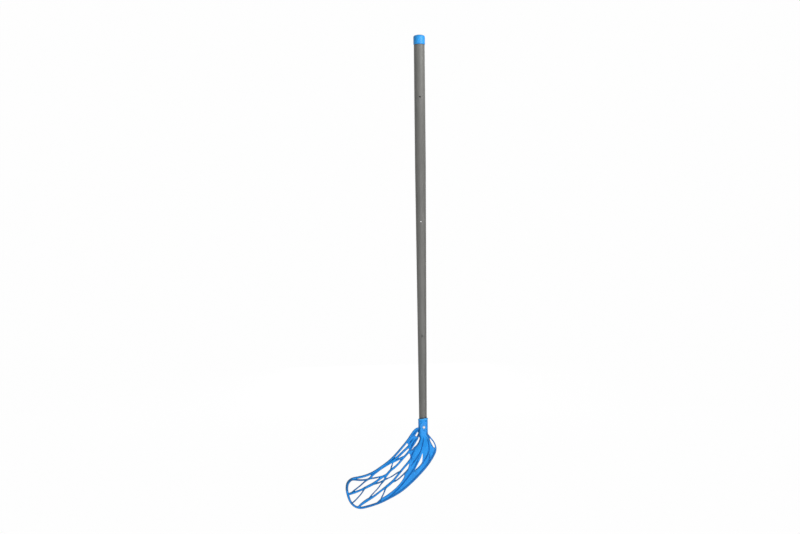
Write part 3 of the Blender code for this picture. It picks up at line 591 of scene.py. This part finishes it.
def rivet_metal(name, colour, roughness):
    """Bare metal with small dents, uneven polish and painted shade at the rim of its head."""
    nodes = Nodes(name)
    dents = nodes.noise(*METAL_DENTS)
    fine = nodes.noise(*METAL_GRAIN)
    dull = tuple(DENTED_SHARE * channel for channel in colour)
    across, _, height = nodes.axes()
    sideways = nodes.math("POWER", nodes.math("SUBTRACT", across, RIVET_X), 2.0)
    upright = nodes.math("POWER", nodes.math("SUBTRACT", height, RIVET_Z), 2.0)
    from_axis = nodes.math("SQRT", nodes.math("ADD", sideways, upright))
    # Painted shade towards the rim of the head
    painted_shade = nodes.range(from_axis, RIVET_HEAD - RIVET_SHADE_START, RIVET_HEAD - RIVET_SHADE_FULL,
                        0.0, PAINTED_SHADE_SHARE)
    polished = nodes.mix(nodes.range(dents, *DENT_SPAN), colour, dull)
    nodes.use(Base_Color=nodes.mix(painted_shade, polished, RIVET_PAINTED_SHADE_COLOUR),
              Roughness=nodes.range(fine, *CLOUD_SPAN, *roughness),
              Metallic=1.0,
              Normal=nodes.bump(dents, *DENT_RELIEF))
    return nodes.material


def tube_radius(drop):
    """Outer radius of the tube below the cap's top."""
    share = max(0.0, (drop - GRIP_END_DROP) / (-SHAFT_LOW.z - GRIP_END_DROP))
    return GRIP_RADIUS + share * (TIP_RADIUS - GRIP_RADIUS)


def pin_cutter(name, profile, x, z, collection):
    """A turned cutter that lies along Y, with the profile's top towards the front."""
    cutter = bpy.data.objects.new(name, turned_mesh(name, profile, HOLE_SEGMENTS))
    cutter.matrix_world = along_y(x, z)
    collection.objects.link(cutter)


def cross_hole(drop, radius, both_walls, collection):
    """A pin through one wall or both that flares where it leaves them."""
    outside = tube_radius(drop)
    edge, reach = outside - HOLE_FLARE, outside + HOLE_MARGIN
    flare = radius + reach - edge
    profile = [(0.0, reach), (flare, reach), (radius, edge)]
    if both_walls:
        profile += [(radius, -edge), (flare, -reach), (0.0, -reach)]
    else:
        profile += [(radius, 0.0), (0.0, 0.0)]
    pin_cutter("hole_cutter", profile, 0.0, -drop, collection)


def build_shaft(material):
    """Fine tube with rounded ends, flared cross holes and the rivet's hole."""
    top, tip = SHAFT_HIGH.z, SHAFT_LOW.z
    inner_top, inner_tip = GRIP_RADIUS - TUBE_WALL, TIP_RADIUS - TUBE_WALL
    profile = arc(GRIP_RADIUS - TUBE_EDGE, top - TUBE_EDGE, TUBE_EDGE, 0.0, 90.0, TUBE_EDGE_STEPS)
    profile += [(GRIP_RADIUS, -GRIP_END_DROP), (TIP_RADIUS, tip + TUBE_EDGE), (TIP_RADIUS - TUBE_EDGE, tip),
                (inner_tip, tip), (inner_top, -GRIP_END_DROP), (inner_top, top)]
    shaft = new_object("shaft_tube", turned_mesh("shaft_tube", profile, TUBE_SEGMENTS, closed=True))
    cutters = bpy.data.collections.new("shaft_cutters")
    bpy.context.scene.collection.children.link(cutters)
    for drop, radius, both_walls in HOLES:
        cross_hole(drop, radius, both_walls, cutters)
    rivet_hole = RIVET_SHANK + PLAY
    profile = [(0.0, GRIP_RADIUS), (rivet_hole, GRIP_RADIUS), (rivet_hole, 0.0), (0.0, 0.0)]
    pin_cutter("rivet_hole_cutter", profile, RIVET_X, RIVET_Z, cutters)
    cut = shaft.modifiers.new("Holes", "BOOLEAN")
    cut.operation = "DIFFERENCE"
    cut.operand_type = "COLLECTION"
    cut.collection = cutters
    apply_modifiers(shaft)
    for cutter in list(cutters.objects):
        bpy.data.objects.remove(cutter, do_unlink=True)
    bpy.data.collections.remove(cutters)
    smooth(shaft)
    finish_piece(shaft, "shaft", material)


def build_cap(material):
    """Fine end cap: crowned top with round corners, straight side, round foot and barbed spigot."""
    spigot = GRIP_RADIUS - TUBE_WALL - PLAY
    relief = spigot - SPIGOT_RELIEF
    bore = relief - CAP_WALL
    foot = CAP_LOW.z
    pitch = (-CAP_HEIGHT - foot) / (SPIGOT_BARBS + 1)
    profile = [(0.0, 0.0), (CAP_FLAT_RADIUS, 0.0)]
    profile += arc(CAP_RADIUS - CAP_CORNER, -CAP_CROWN - CAP_CORNER, CAP_CORNER,
                   CAP_CORNER_START, 90.0, CAP_CORNER_STEPS)
    profile += arc(CAP_RADIUS - CAP_FOOT, -CAP_HEIGHT + CAP_FOOT, CAP_FOOT, 90.0, 180.0, CAP_FOOT_STEPS)
    profile.append((relief, -CAP_HEIGHT))
    for barb in range(1, SPIGOT_BARBS + 1):
        height = -CAP_HEIGHT - barb * pitch
        profile += [(relief, height), (spigot, height - BARB_LIP), (relief, height - BARB_LENGTH)]
    profile += [(relief, foot + SPIGOT_NOSE), (relief - SPIGOT_NOSE, foot), (bore, foot),
                (bore, -CAP_WALL - CAP_BORE_CORNER), (bore - CAP_BORE_CORNER, -CAP_WALL), (0.0, -CAP_WALL)]
    cap = new_object("cap_moulding", turned_mesh("cap_moulding", profile, CAP_SEGMENTS))
    smooth(cap)
    finish_piece(cap, "end_cap", material)


def vertex_values(mesh, collection, name):
    """The vectors of all vertices as an array."""
    values = np.empty(3 * len(mesh.vertices), dtype=np.float32)
    getattr(mesh, collection).foreach_get(name, values)
    return values.reshape(-1, 3)


def write_attribute(mesh, name, values):
    """Keep a value from 0 to 1 for each vertex under a name that materials can read."""
    attribute = mesh.attributes.new(name, "FLOAT", "POINT")
    attribute.data.foreach_set("value", np.clip(values, 0.0, 1.0).astype(np.float32))


def hollowness(item, points, normals):
    """How far each point lies below the smoothed surface; edges and thin ribs stand above it."""
    even = item.modifiers.new("Even", "SMOOTH")
    even.factor = 1.0
    even.iterations = HOLLOW_STEPS
    bpy.context.view_layer.update()
    evaluated = item.evaluated_get(bpy.context.evaluated_depsgraph_get())
    rounded = vertex_values(evaluated.data, "vertices", "co")
    item.modifiers.clear()
    return ((rounded - points) * normals).sum(axis=1)


def level(share, slope):
    """Raise a share so that it is 1 over a mark's middle and falls to 0 at its edge."""
    return np.clip(slope * share, 0.0, 1.0)


def band(values, middle, half_width):
    """1 at a middle value, falling to 0 on both sides of it."""
    return np.clip(1.0 - np.abs(values - middle) / half_width, 0.0, 1.0)


def spot(points, facing, mark):
    """1 in the middle of a round mark on the surface that faces it, falling to 0 at its edge."""
    x, z, radius, _ = mark
    distance = np.hypot(points[:, 0] - x, points[:, 2] - z)
    return level(1.0 - distance / radius, SPOT_SLOPE) * (facing > SPOT_FACING)


def near_lines(points, lines, half_width):
    """1 on a set of blade lines as seen from the front or the back, falling to 0 at the half width."""
    places = np.stack((-points[:, 0], -points[:, 2] - SOCKET_DROP), axis=1)
    nearest = np.full(len(points), np.inf)
    for line in lines:
        for ends in zip(line, line[1:]):
            start, end = (np.array(place) * MM for place in ends)
            along = end - start
            share = np.clip((places - start) @ along / (along @ along), 0.0, 1.0)
            offset = places - start - share[:, None] * along
            nearest = np.minimum(nearest, np.hypot(offset[:, 0], offset[:, 1]))
    return np.clip(1.0 - nearest / half_width, 0.0, 1.0)


def blade_marks(item, points, normals):
    """How much of each small form lies at each point, from 0 to 1, and the hollows' depth in metres."""
    facing = np.abs(normals[:, 1])
    depth = hollowness(item, points, normals)
    return {
        "hollow": np.maximum(0.0, depth - HOLLOW_FLOOR),
        "near_sole": level(near_lines(points, (SOLE_LINE,), SOLE_HALF_WIDTH), SOLE_SLOPE),
        "thin_rib": level(near_lines(points, THIN_RIBS, THIN_HALF_WIDTH), THIN_SLOPE),
        "groove": near_lines(points, GROOVES, GROOVE_HALF_WIDTH) * (facing > GROOVE_FACING),
        "crease": near_lines(points, CREASES, CREASE_HALF_WIDTH) * (facing > GROOVE_FACING),
        "dimple": spot(points, -normals[:, 1], DIMPLE),
        "gate": spot(points, normals[:, 1], GATE_MARK),
    }


def carve(item, points, normals, marks):
    """Sink the hollows, grooves, creases and dimple, and raise the gate mark and the thin ribs."""
    depth = HOLLOW_DEEPENING * marks["hollow"] * (1.0 - SOLE_EVENING * marks["near_sole"])
    depth = depth + GROOVE_DEEPENING * marks["groove"] + CREASE_DEPTH * marks["crease"]
    depth += marks["dimple"] * DIMPLE[3] + marks["gate"] * GATE_MARK[3] - THIN_SWELL * marks["thin_rib"]
    moved = points - depth[:, None] * normals
    item.data.vertices.foreach_set("co", moved.ravel())


def side_shade(points, normals, below_mouth):
    """Shade of the walls that turn away from the front and the back, and of the sole's edge."""
    facing = np.abs(normals[:, 1])
    downward = level(-normals[:, 2], UPRIGHT_SLOPE)
    upward = level(normals[:, 2], UPRIGHT_SLOPE)
    sides = np.clip(SIDE_SLOPE * (SIDE_FACING + SIDE_FACING_BELOW * downward - facing),
                    0.0, SIDE_SHADE + SIDE_SHADE_ABOVE * upward)
    sole = SOLE_SHADE * level(near_lines(points, (SOLE_LINE,), SOLE_BAND_HALF_WIDTH), SHADE_SLOPE)
    return np.maximum(sides, sole) * (below_mouth > SIDES_BELOW_MOUTH)


def small_shade(points, normals, below_mouth, marks):
    """Shade of the corners, lines and dimple, under the lip and round the rivet."""
    corners = np.clip(marks["hollow"] / HOLLOW_DEPTH, 0.0, DARKEST)
    corners = corners * (1.0 - SOLE_LIGHTENING * marks["near_sole"])
    lines = np.clip(LINE_GAIN * np.maximum(marks["groove"], CREASE_GAIN * marks["crease"]), 0.0, DARKEST)
    under_lip = band(below_mouth - LIP_HEIGHT, UNDER_LIP_DROP, PAINTED_SHADE_HALF_WIDTH)
    from_rivet = np.hypot(points[:, 0] - RIVET_X, points[:, 2] - RIVET_Z)
    rivet_rim = band(from_rivet, RIVET_HEAD, PAINTED_SHADE_HALF_WIDTH) * (normals[:, 1] < -SPOT_FACING)
    return np.maximum.reduce((corners, lines, DIMPLE_SHADE * marks["dimple"],
                              UNDER_LIP_SHADE * under_lip, RIVET_RIM_SHADE * rivet_rim))


def murky_painted_shade(points, marks, sides):
    """Murky painted shade on the thin ribs, the shaded walls and, less so, all sides."""
    layers = [THIN_RIB_SHADE * marks["thin_rib"], SIDE_MURKY_SHADE * sides]
    for half_width, share, line in SHADED_WALLS:
        layers.append(share * level(near_lines(points, (line,), half_width * MM), SHADE_SLOPE))
    return np.maximum.reduce(layers)


def wear_and_highlight(points, normals, below_mouth):
    """Painted highlight on the lip of the socket, and wear on the sole's underside."""
    lip = np.clip((LIP_HEIGHT - below_mouth) / MM - LIP_HIGHLIGHT_START, 0.0, 1.0)
    sole = level(-normals[:, 2] - SOLE_FACING, UPRIGHT_SLOPE) * (points[:, 2] < -SOLE_DROP)
    return np.maximum(LIP_PAINTED_HIGHLIGHT * lip, SOLE_WEAR * sole)


def shape_details(item):
    """Carve the blade's small forms, and note painted shade, murky painted shade, and wear with the lip's
    painted highlight at each point.
    """
    points = vertex_values(item.data, "vertices", "co")
    normals = vertex_values(item.data, "vertex_normals", "vector")
    below_mouth = MOUTH_Z + MOUTH_RISE * points[:, 0] - points[:, 2]
    marks = blade_marks(item, points, normals)
    sides = side_shade(points, normals, below_mouth)
    carve(item, points, normals, marks)
    # Painted shade, murky painted shade, and wear with the lip's painted highlight, for the material to
    # read
    write_attribute(item.data, "shade", np.maximum(small_shade(points, normals, below_mouth, marks), sides))
    write_attribute(item.data, "murky_shade", murky_painted_shade(points, marks, sides))
    write_attribute(item.data, "wear_and_highlight", wear_and_highlight(points, normals, below_mouth))
    item.data.update()


def build_blade(material):
    """The blade's solid with every facet and crease rounded as in a mould."""
    blade = new_object("blade_moulding", frame["nodes"]["blade"].data.copy())
    remesh = blade.modifiers.new("Cells", "REMESH")
    remesh.mode = "VOXEL"
    remesh.voxel_size = BLADE_CELL
    for _ in range(RELAX_PAIRS):
        for factor in (RELAX_OUT, RELAX_BACK):
            relax = blade.modifiers.new("Relax", "SMOOTH")
            relax.factor = factor
            relax.iterations = 1
    apply_modifiers(blade)
    shape_details(blade)
    decimate = blade.modifiers.new("Thin", "DECIMATE")
    decimate.ratio = BLADE_FACE_SHARE
    apply_modifiers(blade)
    blade.data.shade_smooth()
    finish_piece(blade, "blade", material)


def turned_along_y(name, profile, closed=False):
    """A turned piece on the rivet's axis, with the profile's heights counted towards the front."""
    item = new_object(name, turned_mesh(name, profile, RIVET_SEGMENTS, closed))
    item.data.transform(along_y(RIVET_X, RIVET_Z))
    smooth(item, RIVET_SHARP_ANGLE)
    return item


def build_rivet(sleeve_material, mandrel_material):
    """Sleeve with a domed head that dips to its bore, and the torn end of the mandrel in it."""
    top, end = -RIVET_LOW.y, -RIVET_HIGH.y
    face = top - RIVET_HEAD_HEIGHT
    tail_top = end + RIVET_TAIL_LENGTH
    sleeve = [(RIVET_BORE, top - RIVET_DIP)]
    sleeve += [(radius * MM, top - depth * MM) for radius, depth in RIVET_HEAD_ROUNDS]
    sleeve += [(RIVET_HEAD, top - RIVET_RIM_DEPTH), (RIVET_HEAD - RIVET_RIM_TAPER, face),
               (RIVET_SHANK, face), (RIVET_SHANK, tail_top)]
    for step in range(1, RIVET_TAIL_STEPS):
        turn = math.pi * step / RIVET_TAIL_STEPS
        swell = (RIVET_TAIL - RIVET_SHANK) * math.sin(turn) ** RIVET_TAIL_FULLNESS
        sleeve.append((RIVET_SHANK + swell, tail_top - RIVET_TAIL_LENGTH * (1 - math.cos(turn)) / 2))
    sleeve += [(RIVET_SHANK - RIVET_TAIL_EDGE, end), (RIVET_BORE, end)]
    body = turned_along_y("rivet_sleeve", sleeve, closed=True)
    finish_piece(body, "rivet_body", sleeve_material)
    torn, foot = top - MANDREL_SINK, -MANDREL_HIGH.y
    pin = [(0.0, torn)]
    pin += [(radius * MM, torn - depth * MM) for radius, depth in MANDREL_TORN_ROUNDS]
    pin += [(MANDREL_RADIUS, torn - MANDREL_TORN_DEPTH), (MANDREL_RADIUS, foot + MANDREL_HEAD),
            (MANDREL_HEAD_RADIUS, foot + MANDREL_HEAD), (MANDREL_HEAD_RADIUS, foot + MANDREL_FOOT_HEIGHT),
            (MANDREL_FOOT_RADIUS, foot), (0.0, foot)]
    core = turned_along_y("rivet_pin", pin)
    finish_piece(core, "rivet_mandrel", mandrel_material)


def seen_directly(nodes):
    """1 for camera, glossy and transmission rays, and 0 for the light that falls on the object."""
    path = nodes.new("ShaderNodeLightPath")
    share = path.outputs["Is Camera Ray"]
    for name in ("Is Glossy Ray", "Is Transmission Ray"):
        larger = nodes.new("ShaderNodeMath")
        larger.operation = "MAXIMUM"
        nodes.id_data.links.new(share, larger.inputs[0])
        nodes.id_data.links.new(path.outputs[name], larger.inputs[1])
        share = larger.outputs["Value"]
    return share


def white_surface():
    """Pale matt floor that looks white to the camera and keeps a soft shadow."""
    nodes = Nodes("pale_floor")
    nodes.use(Base_Color=nodes.mix(nodes.noise(*FLOOR_CLOUDS), *FLOOR_TONES),
              Roughness=FLOOR_ROUGHNESS,
              Specular_IOR_Level=FLOOR_GLOSS)
    glow = nodes.add("ShaderNodeEmission")
    blend = nodes.add("ShaderNodeMixShader")
    nodes.set(blend.inputs[0], nodes.math("MULTIPLY", seen_directly(nodes.tree.nodes), WHITE_SHARE))
    nodes.set(blend.inputs[1], nodes.shader.outputs["BSDF"])
    nodes.set(blend.inputs[2], glow.outputs["Emission"])
    nodes.set(nodes.tree.nodes["Material Output"].inputs["Surface"], blend.outputs["Shader"])
    return nodes.material


def build_floor():
    """Floor that sweeps up into a backdrop behind the stick."""
    height = CAD_BOX[0].z - FLOOR_GAP
    profile = [(FLOOR_FRONT, height)]
    for step in range(SWEEP_STEPS + 1):
        angle = math.pi / 2 * step / SWEEP_STEPS
        profile.append((WALL_DISTANCE - SWEEP_RADIUS * (1 - math.sin(angle)),
                        height + SWEEP_RADIUS * (1 - math.cos(angle))))
    profile.append((WALL_DISTANCE, height + WALL_HEIGHT))
    shape = bmesh.new()
    left, right = ([shape.verts.new((x, y, z)) for y, z in profile]
                   for x in (-FLOOR_HALF_WIDTH, FLOOR_HALF_WIDTH))
    for step in range(len(profile) - 1):
        shape.faces.new((left[step], right[step], right[step + 1], left[step + 1]))
    mesh = bpy.data.meshes.new("floor")
    shape.to_mesh(mesh)
    shape.free()
    floor = new_object("floor", mesh)
    floor.data.shade_smooth()
    floor.data.materials.append(white_surface())


def build_lamps():
    """Soft square lamps, each turned to its target."""
    for name, place, target, size, power, in_gloss in LAMPS:
        data = bpy.data.lights.new(name, "AREA")
        data.shape = "SQUARE"
        data.size = size
        data.energy = power
        lamp = new_object(name, data)
        lamp.location = place
        lamp.rotation_euler = (Vector(target) - Vector(place)).to_track_quat("-Z", "Y").to_euler()
        lamp.visible_camera = False
        lamp.visible_glossy = in_gloss


def build_world():
    """Dim white surroundings that look white where they are seen."""
    world = bpy.data.worlds.new("studio")
    bpy.context.scene.world = world
    world.use_nodes = True
    tree = world.node_tree
    background = tree.nodes["Background"]
    background.inputs["Color"].default_value = (1.0, 1.0, 1.0, 1.0)
    strength = tree.nodes.new("ShaderNodeMapRange")
    strength.inputs["To Min"].default_value = WORLD_STRENGTH
    tree.links.new(seen_directly(tree.nodes), strength.inputs["Value"])
    tree.links.new(strength.outputs["Result"], background.inputs["Strength"])


def build_camera():
    """Camera at the photograph's viewing angle; its roll gives the stick's lean."""
    data = bpy.data.cameras.new("camera")
    data.sensor_width = SENSOR_WIDTH_MM
    data.lens = SENSOR_WIDTH_MM * FOCAL_PIXELS / IMAGE_WIDTH
    data.clip_start = CLIP_START
    data.clip_end = CLIP_END
    camera = new_object("camera", data)
    up = Vector((math.sin(STICK_LEAN), 0.0, math.cos(STICK_LEAN)))
    back = Vector((0.0, -1.0, 0.0))
    turn = Matrix((up.cross(back), up, back)).transposed().to_4x4()
    camera.matrix_world = Matrix.Translation(CAMERA_PLACE) @ turn
    bpy.context.scene.camera = camera


build_camera()
build_shaft(shaft_plastic())
build_cap(blue_plastic("cap_plastic", CAP_TONES, CAP_GRAIN))
build_blade(blue_plastic("blade_plastic", BLADE_TONES, BLADE_GRAIN))
build_rivet(rivet_metal("rivet_metal", SLEEVE_COLOUR, SLEEVE_ROUGHNESS),
            rivet_metal("rivet_steel", MANDREL_COLOUR, MANDREL_ROUGHNESS))
build_floor()
build_world()
build_lamps()
bpy.context.scene.view_settings.view_transform = "Standard"
